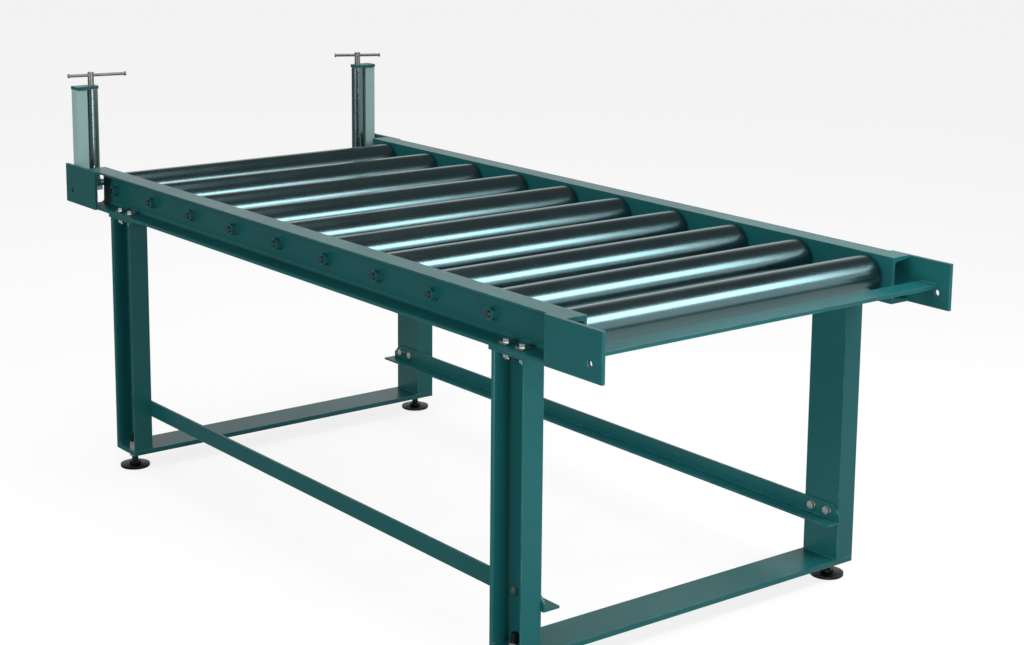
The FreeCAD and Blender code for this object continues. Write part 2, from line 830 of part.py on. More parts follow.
def make_clamp_nut(name, side):
    """The block under the slotted bar that the spindle screws into."""
    body = new_body(name + "_guide_clamp_nut")
    place(body, x=-guide_centre, y=guide_axis * side, z=bar_underside)
    length = clamp_length / 2
    width = clamp_width / 2
    sketch = new_sketch(body, "XY_Plane")
    draw_outline(sketch, box_corners(-length, length, -width, width))
    draw_circle(sketch, spindle_radius + running_play)
    pad(body, sketch, clamp_thickness).Reversed = True


# --- the feet ---------------------------------------------------------------------


def make_foot(name, side, end):
    """A levelling foot: a round pad with a hub on an M16 stem."""
    body = new_body(name + "_levelling_foot")
    place(body, x=leg_centre * end, y=foot_axis * side)
    sketch = new_sketch(body, "XZ_Plane")
    draw_outline(
        sketch,
        [
            (0, 0),
            (pad_radius - 1.5, 0),
            (pad_radius, 1.5),
            (pad_radius, pad_thickness),
            (foot_hub_radius, pad_thickness + 3),
            (foot_hub_radius, foot_hub_top),
            (foot_nut.radius, foot_hub_top),
            (foot_nut.radius, foot_top - 1.5),
            (foot_nut.radius - 1.5, foot_top),
            (0, foot_top),
        ],
    )
    revolve(body, sketch)


# --- the fasteners ----------------------------------------------------------------


def make_axle_nuts():
    """A washer and a nut on each threaded end of the axles."""
    solids = []
    for number in range(roller_count):
        x = (first_roller + roller_pitch * number).number
        for _, side in fronts:
            outward = axis_y * side
            seat = FreeCAD.Vector(x, web_outside.number * side, rail_middle.number)
            solids.append(washer(axle_nut, seat, outward))
            seat = seat + outward * axle_nut.washer_thickness.number
            solids.append(nut(axle_nut, seat, outward))
    group("axle_nuts", solids)


def taper_washer(x, side):
    """A square wedge that levels the sloping inside of a rail's lower flange."""
    half = leg_bolt.washer_radius
    middle = channel_width / 2 - head_bolt_reach
    flange_top = rail_underside + channel_flange + middle * channel_taper
    rise = half * channel_taper
    top = flange_top + rise + leg_bolt.washer_thickness
    y = web_face + head_bolt_reach
    outline = [
        FreeCAD.Vector(x - half.number, along.number * side, height.number)
        for along, height in (
            (y - half, flange_top + rise),
            (y + half, flange_top - rise),
            (y + half, top),
            (y - half, top),
        )
    ]
    wedge = Part.Face(Part.makePolygon(outline + outline[:1]))
    wedge = wedge.extrude(axis_x * 2 * half.number)
    below = FreeCAD.Vector(x, y.number * side, rail_underside.number)
    hole = Part.makeCylinder(leg_bolt.radius.number, channel_height.number, below)
    return wedge.cut(hole), top


def leg_fasteners():
    """Bolts down through the lower flanges and the head plates, with their nuts."""
    solids = []
    under = rail_underside - head_thickness
    for _, side in fronts:
        for _, end in ends:
            for x, y in leg_bolt_places(side, end):
                wedge, top = taper_washer(x, side)
                length = top - under + leg_bolt.nut + 4
                solids.append(wedge)
                seat = FreeCAD.Vector(x, y, top.number)
                solids.append(bolt(leg_bolt, length.number, seat, axis_z))
                solids.append(nut(leg_bolt, FreeCAD.Vector(x, y, under.number), -axis_z))
    return solids


def stretcher_fasteners():
    """Bolts through the stretchers and the webs of the legs, with their nuts."""
    solids = []
    height = (angle_height + angle_bolt_height).number
    inside = (web_face - angle_thickness).number
    grip = angle_bolt.washer_thickness + angle_thickness + channel_web
    length = grip + angle_bolt.nut + 3
    for _, side in fronts:
        inward = axis_y * -side
        for _, end in ends:
            for step in (-0.5, 0.5):
                x = (leg_centre * end + angle_bolt_pitch * step).number
                seat = FreeCAD.Vector(x, inside * side, height)
                solids.append(washer(angle_bolt, seat, inward))
                seat = seat + inward * angle_bolt.washer_thickness.number
                solids.append(bolt(angle_bolt, length.number, seat, inward))
                far_seat = FreeCAD.Vector(x, web_outside.number * side, height)
                solids.append(nut(angle_bolt, far_seat, -inward))
    return solids


def make_foot_nuts():
    """A nut above and a lock nut below the floor tie on each foot."""
    solids = []
    for _, side in fronts:
        for _, end in ends:
            x = leg_centre.number * end
            y = foot_axis.number * side
            above = FreeCAD.Vector(x, y, tie_top.number)
            below = FreeCAD.Vector(x, y, tie_height.number)
            solids.append(nut(foot_nut, above, axis_z, running_play))
            solids.append(nut(foot_nut, below, -axis_z, running_play))
    group("foot_nuts", solids)


# --- the table --------------------------------------------------------------------

for name, side in fronts:
    make_rail(name, side)
    make_stretcher(name, side)
    for end_name, end in ends:
        corner_name = "{}_{}".format(end_name, name)
        make_leg(corner_name, side, end)
        make_end_plate(corner_name, side, end)
        make_foot(corner_name, side, end)
make_head_plates()
for end_name, end in ends:
    make_tie(end_name, end)
make_cross_bar("left", -guide_centre, True)
make_cross_bar("right", saw_bar_centre, False)

for number in range(1, roller_count + 1):
    make_roller(number)
make_axles()
make_inner_rings()

for name, side in fronts:
    make_guide_upright(name, side)
    make_guide_plates(name, side)
    make_guide_roller(name, side)
    make_guide_spindle(name, side)
    make_tommy_bar(name, side)
    make_clamp_nut(name, side)

make_axle_nuts()
group("frame_fasteners", leg_fasteners() + stretcher_fasteners())
make_foot_nuts()

doc.recompute()

# --- checks and files -------------------------------------------------------------

for thing in doc.Objects:
    if "Invalid" in thing.State or "Error" in thing.State:
        raise RuntimeError("{} failed: {}".format(thing.Label, thing.State))

pieces = [
    thing
    for thing in doc.Objects
    if thing.TypeId == "PartDesign::Body" or thing.TypeId == "Part::Feature"
]
os.makedirs("parts", exist_ok=True)
for piece in pieces:
    shape = piece.Shape
    if shape.isNull() or not shape.isValid() or not shape.Solids:
        raise RuntimeError("{} has no sound solid".format(piece.Label))
for piece in pieces:
    piece.Shape.exportStep("parts/{}.step".format(piece.Label))
print("{} pieces".format(len(pieces)))
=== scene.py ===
# %% [markdown]
# # Roller outfeed table
# A steel table that stands behind a saw. Long bars or panels roll over ten free-turning
# steel rollers. Two upright guide rollers at one end keep the stock straight, and each is
# clamped by a small T-handle. This lesson dresses the finished solids: camera and light,
# paint, bare steel, welds and threads.

# %% Load the solids
import json
import math
import random

import bmesh
import bpy
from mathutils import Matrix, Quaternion, Vector


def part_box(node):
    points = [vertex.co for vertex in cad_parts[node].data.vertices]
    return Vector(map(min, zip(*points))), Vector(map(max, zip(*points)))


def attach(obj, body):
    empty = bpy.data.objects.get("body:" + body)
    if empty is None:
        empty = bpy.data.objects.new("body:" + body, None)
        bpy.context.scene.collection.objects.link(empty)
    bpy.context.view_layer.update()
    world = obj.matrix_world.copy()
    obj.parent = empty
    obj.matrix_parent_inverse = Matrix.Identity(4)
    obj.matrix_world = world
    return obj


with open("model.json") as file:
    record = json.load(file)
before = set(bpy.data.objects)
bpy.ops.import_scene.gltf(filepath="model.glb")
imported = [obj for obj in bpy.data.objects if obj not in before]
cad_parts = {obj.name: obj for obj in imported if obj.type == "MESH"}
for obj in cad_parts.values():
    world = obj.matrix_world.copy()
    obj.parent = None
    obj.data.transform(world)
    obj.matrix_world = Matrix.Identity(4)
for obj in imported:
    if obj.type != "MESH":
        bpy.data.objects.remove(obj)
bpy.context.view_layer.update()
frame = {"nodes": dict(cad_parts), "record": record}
nodes = frame["nodes"]
fronts = ("front", "rear")
ends = ("left", "right")
corners = [end + "_" + front for front in fronts for end in ends]
print("solids loaded:", len(nodes))

# %% [markdown]
# ## Camera
# A long table is best seen from beyond one corner and through a long lens, so that the far end
# does not shrink too much. The lens is given by its focal length in pixels, because that is
# how a lens is measured from straight edges. The frame is shifted a little downwards, so the
# camera needs less tilt and the legs stay nearly upright, as with a view camera.

# %% Camera
IMAGE_WIDTH, IMAGE_HEIGHT = 1024, 645
SENSOR_WIDTH = 36.0
FAR_CLIP = 200.0


def add_camera(place, yaw, pitch, roll, focal_pixels, centre_row):
    """A camera at place that looks down by pitch, from the side given by yaw, in degrees."""
    data = bpy.data.cameras.new("camera")
    data.sensor_width = SENSOR_WIDTH
    data.lens = focal_pixels / IMAGE_WIDTH * SENSOR_WIDTH
    data.shift_y = (centre_row - IMAGE_HEIGHT / 2) / IMAGE_WIDTH
    data.clip_end = FAR_CLIP
    yaw, pitch, roll = (math.radians(angle) for angle in (yaw, pitch, roll))
    back = Vector((
        math.sin(yaw) * math.cos(pitch),
        -math.cos(yaw) * math.cos(pitch),
        math.sin(pitch),
    ))
    camera = bpy.data.objects.new("camera", data)
    camera.rotation_mode = "QUATERNION"
    camera.rotation_quaternion = (-back).to_track_quat("-Z", "Y") @ Quaternion((0, 0, 1), roll)
    camera.location = place
    bpy.context.scene.collection.objects.link(camera)
    bpy.context.scene.camera = camera
    return camera


camera = add_camera(
    place=(3.6827, -2.7090, 1.6453), yaw=52.039, pitch=10.734, roll=0.538,
    focal_pixels=1981.8, centre_row=200,
)
bpy.context.scene.view_settings.view_transform = "Standard"
print("camera lens in mm:", round(camera.data.lens, 1))

# %% [markdown]
# ## World
# The world is a soft white room. The camera sees it as plain white, but it lights the table
# only at the fill level. Gloss sees it white low down behind the table, dark in front and dim
# above, as if black cloth hung there, which keeps the paint deep and the steel dark between
# the bright lines. Light Path tells the kinds of ray apart, and two smooth ramps over the
# direction make the dark front and the dim ceiling.

# %% Helpers for numbers in node trees
def mix_numbers(tree, share, low, high):
    """A Mix node between two numbers. Each may be a plain number or a socket."""
    mix = tree.nodes.new("ShaderNodeMix")
    for socket, value in zip(mix.inputs[0:1] + mix.inputs[2:4], (share, low, high)):
        if isinstance(value, (int, float)):
            socket.default_value = value
        else:
            tree.links.new(value, socket)
    return mix.outputs[0]


def ramp_along(tree, coordinates, axis, span, first, last):
    """A number that goes smoothly from first to last over a span of one coordinate."""
    split = tree.nodes.new("ShaderNodeSeparateXYZ")
    ramp = tree.nodes.new("ShaderNodeMapRange")
    ramp.interpolation_type = "SMOOTHSTEP"
    ramp.inputs["From Min"].default_value = span[0]
    ramp.inputs["From Max"].default_value = span[1]
    ramp.inputs["To Min"].default_value = first
    ramp.inputs["To Max"].default_value = last
    tree.links.new(coordinates, split.inputs[0])
    tree.links.new(split.outputs[axis], ramp.inputs["Value"])
    return ramp.outputs["Result"]


print("helpers ready for rays and ramps")

# %% World
WHITE = (1.0, 1.0, 1.0, 1.0)
FULL = 1.0
FILL_LEVEL = 0.28
DARK_FRONT = 0.12
DIM_CEILING = 0.12
FRONT_TO_BACK = (-0.7, 0.2)
WALL_TO_CEILING = (0.28, 0.55)


def add_world():
    """A white room whose dark front and dim ceiling only shiny surfaces see."""
    world = bpy.data.worlds.new("white_room")
    world.use_nodes = True
    tree = world.node_tree
    background = tree.nodes["Background"]
    background.inputs["Color"].default_value = WHITE
    path = tree.nodes.new("ShaderNodeLightPath")
    direction = tree.nodes.new("ShaderNodeTexCoord").outputs["Generated"]
    walls = ramp_along(tree, direction, "Y", FRONT_TO_BACK, DARK_FRONT, FULL)
    height = ramp_along(tree, direction, "Z", WALL_TO_CEILING, 0.0, 1.0)
    in_gloss = mix_numbers(tree, height, walls, DIM_CEILING)
    level = mix_numbers(tree, path.outputs["Is Glossy Ray"], FILL_LEVEL, in_gloss)
    level = mix_numbers(tree, path.outputs["Is Transmission Ray"], level, FULL)
    level = mix_numbers(tree, path.outputs["Is Camera Ray"], level, FULL)
    tree.links.new(level, background.inputs["Strength"])
    bpy.context.scene.world = world
    return world


world = add_world()
print("world made:", world.name)

# %% [markdown]
# ## Soft boxes
# The key box hangs half a metre beyond the right end of the table, a metre above the rollers.
# It gives each roller its bright line, and because it is close, the line is strong on the
# rollers near it and fades along the table and towards the far rail. A small box near the
# floor lights the nearest leg. A wide one stands far out in front, low enough to shine into
# the channel of the rail, and another hangs overhead. Each is an area lamp whose power is
# worked out from how bright its face looks, so a change of size keeps that brightness.

# %% Soft boxes
TABLE_MIDDLE = Vector((0.0, 0.0, 0.7))
FRONT_DIRECTION = Vector((0.05, -0.95, 0.22)).normalized()
FRONT_DISTANCE = 6.0


def add_soft_box(name, place, target, width, height, radiance):
    """A rectangular lamp that faces target and looks as bright as radiance says."""
    data = bpy.data.lights.new(name, "AREA")
    data.shape = "RECTANGLE"
    data.size = width
    data.size_y = height
    data.energy = radiance * math.pi * width * height
    lamp = bpy.data.objects.new(name, data)
    lamp.location = place
    lamp.rotation_euler = (Vector(target) - Vector(place)).to_track_quat("-Z", "Y").to_euler()
    lamp.visible_camera = False
    bpy.context.scene.collection.objects.link(lamp)
    return lamp


lamps = [
    add_soft_box(
        "key_soft_box", place=(1.65, 0.80, 1.72), target=(0.35, 0.80, 0.70),
        width=1.40, height=0.66, radiance=7.4),
    add_soft_box(
        "fill_soft_box", place=(2.3, -0.8, 0.45), target=(0.8, -0.44, 0.4),
        width=0.7, height=0.7, radiance=11.0),
    add_soft_box(
        "front_soft_box", place=TABLE_MIDDLE + FRONT_DIRECTION * FRONT_DISTANCE,
        target=TABLE_MIDDLE, width=3.0, height=3.0, radiance=4.6),
    add_soft_box(
        "overhead_soft_box", place=(-0.4, 0.0, 5.0), target=TABLE_MIDDLE,
        width=3.0, height=3.0, radiance=2.9),
]
print("lamp watts:", {lamp.name: round(lamp.data.energy) for lamp in lamps})

# %% [markdown]
# ## Floor
# The floor is a plain pale studio floor. It is very wide, so that no edge of it shows. It is
# part of the stage and not of the table. Much of its paleness is a glow that only the camera
# and gloss see, so that it looks nearly white, still takes a shadow, and adds no other light.

# %% Floor
FLOOR_REACH = 40.0
FLOOR_CELLS = 8
FLOOR_GREY = (0.25, 0.25, 0.25, 1.0)
FLOOR_ROUGHNESS = 0.9
FLOOR_GLOW = 0.82
FRONT_GLOW_IN_GLOSS, BACK_GLOW_IN_GLOSS = 0.06, 0.45
UNDER_THE_TABLE = (-0.6, 0.4)


def make_floor_paint():
    """A pale matt grey with a glow for the camera and a weaker one for gloss."""
    material = bpy.data.materials.new("pale_floor")
    material.use_nodes = True
    tree = material.node_tree
    shader = tree.nodes["Principled BSDF"]
    shader.inputs["Base Color"].default_value = FLOOR_GREY
    shader.inputs["Roughness"].default_value = FLOOR_ROUGHNESS
    shader.inputs["Specular IOR Level"].default_value = 0.0
    shader.inputs["Emission Color"].default_value = WHITE
    path = tree.nodes.new("ShaderNodeLightPath")
    place = tree.nodes.new("ShaderNodeTexCoord").outputs["Object"]
    in_gloss = ramp_along(
        tree, place, "Y", UNDER_THE_TABLE, FRONT_GLOW_IN_GLOSS, BACK_GLOW_IN_GLOSS)
    level = mix_numbers(tree, path.outputs["Is Glossy Ray"], 0.0, in_gloss)
    level = mix_numbers(tree, path.outputs["Is Camera Ray"], level, FLOOR_GLOW)
    tree.links.new(level, shader.inputs["Emission Strength"])
    return material


def add_floor():
    """A wide floor that takes the shadow of the table."""
    mesh = bpy.data.meshes.new("studio_floor")
    build = bmesh.new()
    bmesh.ops.create_grid(
        build, x_segments=FLOOR_CELLS, y_segments=FLOOR_CELLS, size=FLOOR_REACH)
    build.to_mesh(mesh)
    build.free()
    mesh.materials.append(make_floor_paint())
    floor = bpy.data.objects.new("studio_floor", mesh)
    bpy.context.scene.collection.objects.link(floor)
    return floor


floor = add_floor()
print("floor made:", floor.name, "reaching", FLOOR_REACH, "m")

# %% [markdown]
# ## Effects that several finishes share
# Real steel work is never even. Paint lies a little thicker here and thinner there, so its
# colour and gloss drift. Corners are rubbed lighter by bars and gloves. Each effect is one
# node group with named inputs, and every finish that needs it places the group with its own
# values.

# %% Helpers for node groups
FLOAT, COLOR = "NodeSocketFloat", "NodeSocketColor"
MIX_A, MIX_B = 2, 3
MIX_COLOR_A, MIX_COLOR_B, MIX_COLOR_OUT = 6, 7, 2


def new_group(name, inputs, outputs):
    """An empty shader node group with named sockets."""
    tree = bpy.data.node_groups.new(name, "ShaderNodeTree")
    for label, kind, value in inputs:
        socket = tree.interface.new_socket(label, in_out="INPUT", socket_type=kind)
        socket.default_value = value
    for label, kind in outputs:
        tree.interface.new_socket(label, in_out="OUTPUT", socket_type=kind)
    way_in = tree.nodes.new("NodeGroupInput")
    way_out = tree.nodes.new("NodeGroupOutput")
    return tree, way_in, way_out


def add_noise(tree, detail):
    """A noise texture with so many layers of detail."""
    noise = tree.nodes.new("ShaderNodeTexNoise")
    noise.inputs["Detail"].default_value = detail
    return noise


def add_math(tree, operation, second=None):
    """A Math node, with its second value where it has a fixed one."""
    node = tree.nodes.new("ShaderNodeMath")
    node.operation = operation
    if second is not None:
        node.inputs[1].default_value = second
    return node


print("helpers ready for node groups")

# %% Node group: drift of colour and gloss
BROAD_DETAIL, FINE_DETAIL = 4.0, 6.0
FINE_TIMES = 14.0
FINE_SHARE = 0.35
FINE_ROUGHNESS = 0.65
MIDDLE_GREY = 0.5


def make_surface_drift():
    """Slow changes of colour and gloss, from two sizes of noise."""
    tree, way_in, way_out = new_group(
        "surface_drift",
        [("Color", COLOR, (0.1, 0.3, 0.3, 1)), ("Deep Color", COLOR, (0.05, 0.2, 0.2, 1)),
         ("Roughness", FLOAT, 0.35), ("Roughness Change", FLOAT, 0.1), ("Size", FLOAT, 3.0)],
        [("Color", COLOR), ("Roughness", FLOAT), ("Cloud", FLOAT)],
    )
    place = tree.nodes.new("ShaderNodeTexCoord")
    broad = add_noise(tree, BROAD_DETAIL)
    fine = add_noise(tree, FINE_DETAIL)
    fine.inputs["Roughness"].default_value = FINE_ROUGHNESS
    finer = add_math(tree, "MULTIPLY", FINE_TIMES)
    cloud = tree.nodes.new("ShaderNodeMix")
    cloud.inputs[0].default_value = FINE_SHARE
    mix = tree.nodes.new("ShaderNodeMix")
    mix.data_type = "RGBA"
    centre = add_math(tree, "SUBTRACT", MIDDLE_GREY)
    gloss = add_math(tree, "MULTIPLY_ADD")
    link = tree.links.new
    link(place.outputs["Object"], broad.inputs["Vector"])
    link(place.outputs["Object"], fine.inputs["Vector"])
    link(way_in.outputs["Size"], broad.inputs["Scale"])
    link(way_in.outputs["Size"], finer.inputs[0])
    link(finer.outputs[0], fine.inputs["Scale"])
    link(broad.outputs["Fac"], cloud.inputs[MIX_A])
    link(fine.outputs["Fac"], cloud.inputs[MIX_B])
    link(cloud.outputs[0], mix.inputs["Factor"])
    link(way_in.outputs["Color"], mix.inputs[MIX_COLOR_A])
    link(way_in.outputs["Deep Color"], mix.inputs[MIX_COLOR_B])
    link(cloud.outputs[0], centre.inputs[0])
    link(centre.outputs[0], gloss.inputs[0])
    link(way_in.outputs["Roughness Change"], gloss.inputs[1])
    link(way_in.outputs["Roughness"], gloss.inputs[2])
    link(mix.outputs[MIX_COLOR_OUT], way_out.inputs["Color"])
    link(gloss.outputs[0], way_out.inputs["Roughness"])
    link(cloud.outputs[0], way_out.inputs["Cloud"])
    return tree


surface_drift = make_surface_drift()
print("group made:", surface_drift.name)

# %% [markdown]
# ## Rubbed edges
# A Bevel node gives the normal that a rounded edge would have. Where it differs from the true
# normal there is an edge, so the dot product of the two becomes a mask. Noise breaks the mask
# into patches, because no edge is rubbed evenly.

# %% Node group: rubbed edges
BEVEL_SAMPLES = 4
PATCH_DETAIL = 5.0
FLAT, SHARP = 0.995, 0.85
PATCH_STARTS, PATCH_FULL = 0.40, 0.62


def make_edge_wear():
    """A mask that is 1 on sharp edges and 0 on flats, broken up by noise."""
    tree, way_in, way_out = new_group(
        "edge_wear",
        [("Width", FLOAT, 0.002), ("Amount", FLOAT, 0.5), ("Patch Size", FLOAT, 30.0)],
        [("Mask", FLOAT)],
    )
    place = tree.nodes.new("ShaderNodeTexCoord")
    noise = add_noise(tree, PATCH_DETAIL)
    bevel = tree.nodes.new("ShaderNodeBevel")
    bevel.samples = BEVEL_SAMPLES
    geometry = tree.nodes.new("ShaderNodeNewGeometry")
    same = tree.nodes.new("ShaderNodeVectorMath")
    same.operation = "DOT_PRODUCT"
    turn = tree.nodes.new("ShaderNodeMapRange")
    turn.inputs["From Min"].default_value = FLAT
    turn.inputs["From Max"].default_value = SHARP
    patch = tree.nodes.new("ShaderNodeMapRange")
    patch.inputs["From Min"].default_value = PATCH_STARTS
    patch.inputs["From Max"].default_value = PATCH_FULL
    both = add_math(tree, "MULTIPLY")
    level = add_math(tree, "MULTIPLY")
    link = tree.links.new
    link(place.outputs["Object"], noise.inputs["Vector"])
    link(way_in.outputs["Patch Size"], noise.inputs["Scale"])
    link(way_in.outputs["Width"], bevel.inputs["Radius"])
    link(bevel.outputs["Normal"], same.inputs[0])
    link(geometry.outputs["Normal"], same.inputs[1])
    link(same.outputs["Value"], turn.inputs["Value"])
    link(noise.outputs["Fac"], patch.inputs["Value"])
    link(turn.outputs["Result"], both.inputs[0])
    link(patch.outputs["Result"], both.inputs[1])
    link(both.outputs[0], level.inputs[0])
    link(way_in.outputs["Amount"], level.inputs[1])
    link(level.outputs[0], way_out.inputs["Mask"])
    return tree


edge_wear = make_edge_wear()
print("group made:", edge_wear.name)

# %% [markdown]
# ## Frame paint
# The rails, legs, ties and plates are welded mill steel under one coat of dark blue-green
# machine enamel, sprayed after welding. It is satin to gloss, with a faint orange peel, and
# the sharpest edges are rubbed a little lighter. The Principled shader does the enamel, the
# drift group keeps big flat webs from looking like plastic, and a tiny bump is the peel.

# %% Helpers for materials
def new_material(name):
    """A material with its Principled shader."""
    material = bpy.data.materials.new(name)
    material.use_nodes = True
    return material, material.node_tree, material.node_tree.nodes["Principled BSDF"]


def add_group(tree, group, values):
    """Place a node group with its own values."""
    node = tree.nodes.new("ShaderNodeGroup")
    node.node_tree = group
    for label, value in values.items():
        node.inputs[label].default_value = value
    return node


def add_bump(tree, height, strength, distance):
    """A bump node fed by a height."""
    bump = tree.nodes.new("ShaderNodeBump")
    bump.inputs["Strength"].default_value = strength
    bump.inputs["Distance"].default_value = distance
    tree.links.new(height, bump.inputs["Height"])
    return bump


def wear_over(tree, color, mask, worn_color):
    """The finish colour with a worn colour laid over it where the mask is high."""
    mix = tree.nodes.new("ShaderNodeMix")
    mix.data_type = "RGBA"
    tree.links.new(mask, mix.inputs["Factor"])
    tree.links.new(color, mix.inputs[MIX_COLOR_A])
    mix.inputs[MIX_COLOR_B].default_value = worn_color
    return mix.outputs[MIX_COLOR_OUT]


def feed_shader(tree, shader, color, roughness, normal):
    """Link the three values that change over the surface to the shader."""
    tree.links.new(color, shader.inputs["Base Color"])
    tree.links.new(roughness, shader.inputs["Roughness"])
    tree.links.new(normal, shader.inputs["Normal"])


print("helpers ready for materials")

# %% Frame paint
PAINT_COLOR = (0.012, 0.138, 0.140, 1.0)
PAINT_DEEP = (0.005, 0.090, 0.098, 1.0)
PAINT_WORN = (0.20, 0.36, 0.35, 1.0)
PAINT_GLOSS = 0.32
PAINT_DRIFT, PAINT_DRIFT_SIZE = 0.16, 3.0
PAINT_EDGE, PAINT_PATCH = 0.0025, 22.0
PEEL_SIZE, PEEL_DETAIL = 320.0, 2.0
PEEL_STRENGTH, PEEL_DEPTH = 0.12, 0.0006


def make_paint(name, color, deep, roughness, wear):
    """Machine enamel with orange peel and rubbed edges."""
    material, tree, shader = new_material(name)
    drift = add_group(tree, surface_drift, {
        "Color": color, "Deep Color": deep,
        "Roughness": roughness, "Roughness Change": PAINT_DRIFT, "Size": PAINT_DRIFT_SIZE,
    })
    edges = add_group(
        tree, edge_wear, {"Width": PAINT_EDGE, "Amount": wear, "Patch Size": PAINT_PATCH})
    place = tree.nodes.new("ShaderNodeTexCoord")
    peel = add_noise(tree, PEEL_DETAIL)
    peel.inputs["Scale"].default_value = PEEL_SIZE
    tree.links.new(place.outputs["Object"], peel.inputs["Vector"])
    bump = add_bump(tree, peel.outputs["Fac"], PEEL_STRENGTH, PEEL_DEPTH)
    painted = wear_over(tree, drift.outputs["Color"], edges.outputs["Mask"], PAINT_WORN)
    feed_shader(tree, shader, painted, drift.outputs["Roughness"], bump.outputs["Normal"])
    shader.inputs["Specular IOR Level"].default_value = PAINT_GLOSS
    return material


frame_paint = make_paint("frame_paint", PAINT_COLOR, PAINT_DEEP, roughness=0.34, wear=0.55)
print("paint made:", frame_paint.name)

# %% [markdown]
# ## Roller tube
# The rollers are ground steel tube, and the grinding has left very fine rings round each. The
# metal colour is a dark blue-green, so that the dim ceiling shows in it as a dark body and the
# soft box as one bright line. Noise that is dense along the axis and stretched across it gives
# the rings. Real grooves would need far too many faces.

# %% Roller tube
TUBE_COLOR = (0.098, 0.178, 0.192, 1.0)
TUBE_PALE = (0.128, 0.212, 0.226, 1.0)
GUIDE_TUBE_COLOR = (0.14, 0.20, 0.203, 1.0)
GUIDE_TUBE_PALE = (0.21, 0.28, 0.283, 1.0)
STEEL_WORN = (0.4, 0.42, 0.42, 1.0)
STEEL_DRIFT, STEEL_DRIFT_SIZE = 0.14, 9.0
STEEL_EDGE, STEEL_WEAR, STEEL_PATCH = 0.0015, 0.4, 60.0
RING_STRETCH, RING_DETAIL, RING_STRENGTH = 2.0, 3.0, 0.10


def make_turned_steel(name, color, pale, roughness, axis, ring_scale, depth):
    """Bare steel with fine rings round one axis, drifting colour and gloss, and rubbed edges.
    """
    material, tree, shader = new_material(name)
    place = tree.nodes.new("ShaderNodeTexCoord")
    stretch = tree.nodes.new("ShaderNodeMapping")
    scale = [RING_STRETCH] * 3
    scale["XYZ".index(axis)] = ring_scale
    stretch.inputs["Scale"].default_value = scale
    rings = add_noise(tree, RING_DETAIL)
    rings.inputs["Scale"].default_value = 1.0
    drift = add_group(tree, surface_drift, {
        "Color": color, "Deep Color": pale,
        "Roughness": roughness, "Roughness Change": STEEL_DRIFT, "Size": STEEL_DRIFT_SIZE,
    })
    edges = add_group(
        tree, edge_wear, {"Width": STEEL_EDGE, "Amount": STEEL_WEAR, "Patch Size": STEEL_PATCH})
    tree.links.new(place.outputs["Object"], stretch.inputs["Vector"])
    tree.links.new(stretch.outputs["Vector"], rings.inputs["Vector"])
    bump = add_bump(tree, rings.outputs["Fac"], RING_STRENGTH, depth)
    worn = wear_over(tree, drift.outputs["Color"], edges.outputs["Mask"], STEEL_WORN)
    feed_shader(tree, shader, worn, drift.outputs["Roughness"], bump.outputs["Normal"])
    shader.inputs["Metallic"].default_value = 1.0
    return material


roller_tube = make_turned_steel(
    "roller_tube_steel", TUBE_COLOR, TUBE_PALE,
    roughness=0.23, axis="Y", ring_scale=900.0, depth=0.0002)
guide_tube = make_turned_steel(
    "guide_tube_steel", GUIDE_TUBE_COLOR, GUIDE_TUBE_PALE,
    roughness=0.26, axis="Z", ring_scale=900.0, depth=0.0004)
print("tubes made:", roller_tube.name, guide_tube.name)

# %% [markdown]
# ## Small parts
# Pressed end caps, bearing rings, axles, bolts, feet and handles are all steel, each with its
# own plating, and the guide bushes are bronze. They share the maker of turned steel, with
# other colours and gloss. The guide posts are painted paler than the frame, a painted sheen
# for the bright gloss they catch, and the axle nuts are painted over with nearly the colour
# of the frame.

# %% Small parts
# The guide posts' paler colour is a painted sheen, in place of the bright gloss they catch.
POST_SHEEN_COLOR, POST_SHEEN_DEEP = (0.42, 0.64, 0.60, 1.0), (0.34, 0.54, 0.51, 1.0)
NUT_COLOR, NUT_DEEP = (0.012, 0.150, 0.152, 1.0), (0.008, 0.110, 0.113, 1.0)

# For each metal: its colour, its pale colour, roughness, axis of the rings, how dense the
# rings are, and how deep.
metal_values = {
    "end_cap_steel": (
        (0.030, 0.060, 0.062, 1), (0.055, 0.09, 0.09, 1), 0.38, "X", 300.0, 0.0004),
    "bearing_steel": (
        (0.32, 0.34, 0.34, 1), (0.42, 0.44, 0.44, 1), 0.22, "Y", 600.0, 0.0002),
    "axle_steel": (
        (0.10, 0.13, 0.135, 1), (0.16, 0.18, 0.18, 1), 0.36, "Y", 700.0, 0.0004),
    "bolt_zinc": (
        (0.50, 0.54, 0.53, 1), (0.60, 0.62, 0.60, 1), 0.30, "Z", 200.0, 0.0003),
    "handle_steel": (
        (0.20, 0.20, 0.19, 1), (0.30, 0.29, 0.27, 1), 0.34, "Z", 300.0, 0.0003),
    "foot_steel": (
        (0.018, 0.026, 0.026, 1), (0.035, 0.042, 0.040, 1), 0.42, "Z", 250.0, 0.0004),
    "bush_bronze": (
        (0.36, 0.24, 0.10, 1), (0.46, 0.32, 0.15, 1), 0.35, "Z", 400.0, 0.0003),
}
small_metals = {
    name: make_turned_steel(name, *values) for name, values in metal_values.items()
}
# Paler paint for the guide posts, a painted sheen for the gloss they catch.
post_sheen_paint = make_paint("post_sheen_paint", POST_SHEEN_COLOR, POST_SHEEN_DEEP, roughness=0.26, wear=0.20)
nut_paint = make_paint("nut_paint", NUT_COLOR, NUT_DEEP, roughness=0.36, wear=0.35)
print("small finishes made:", len(small_metals) + 2)
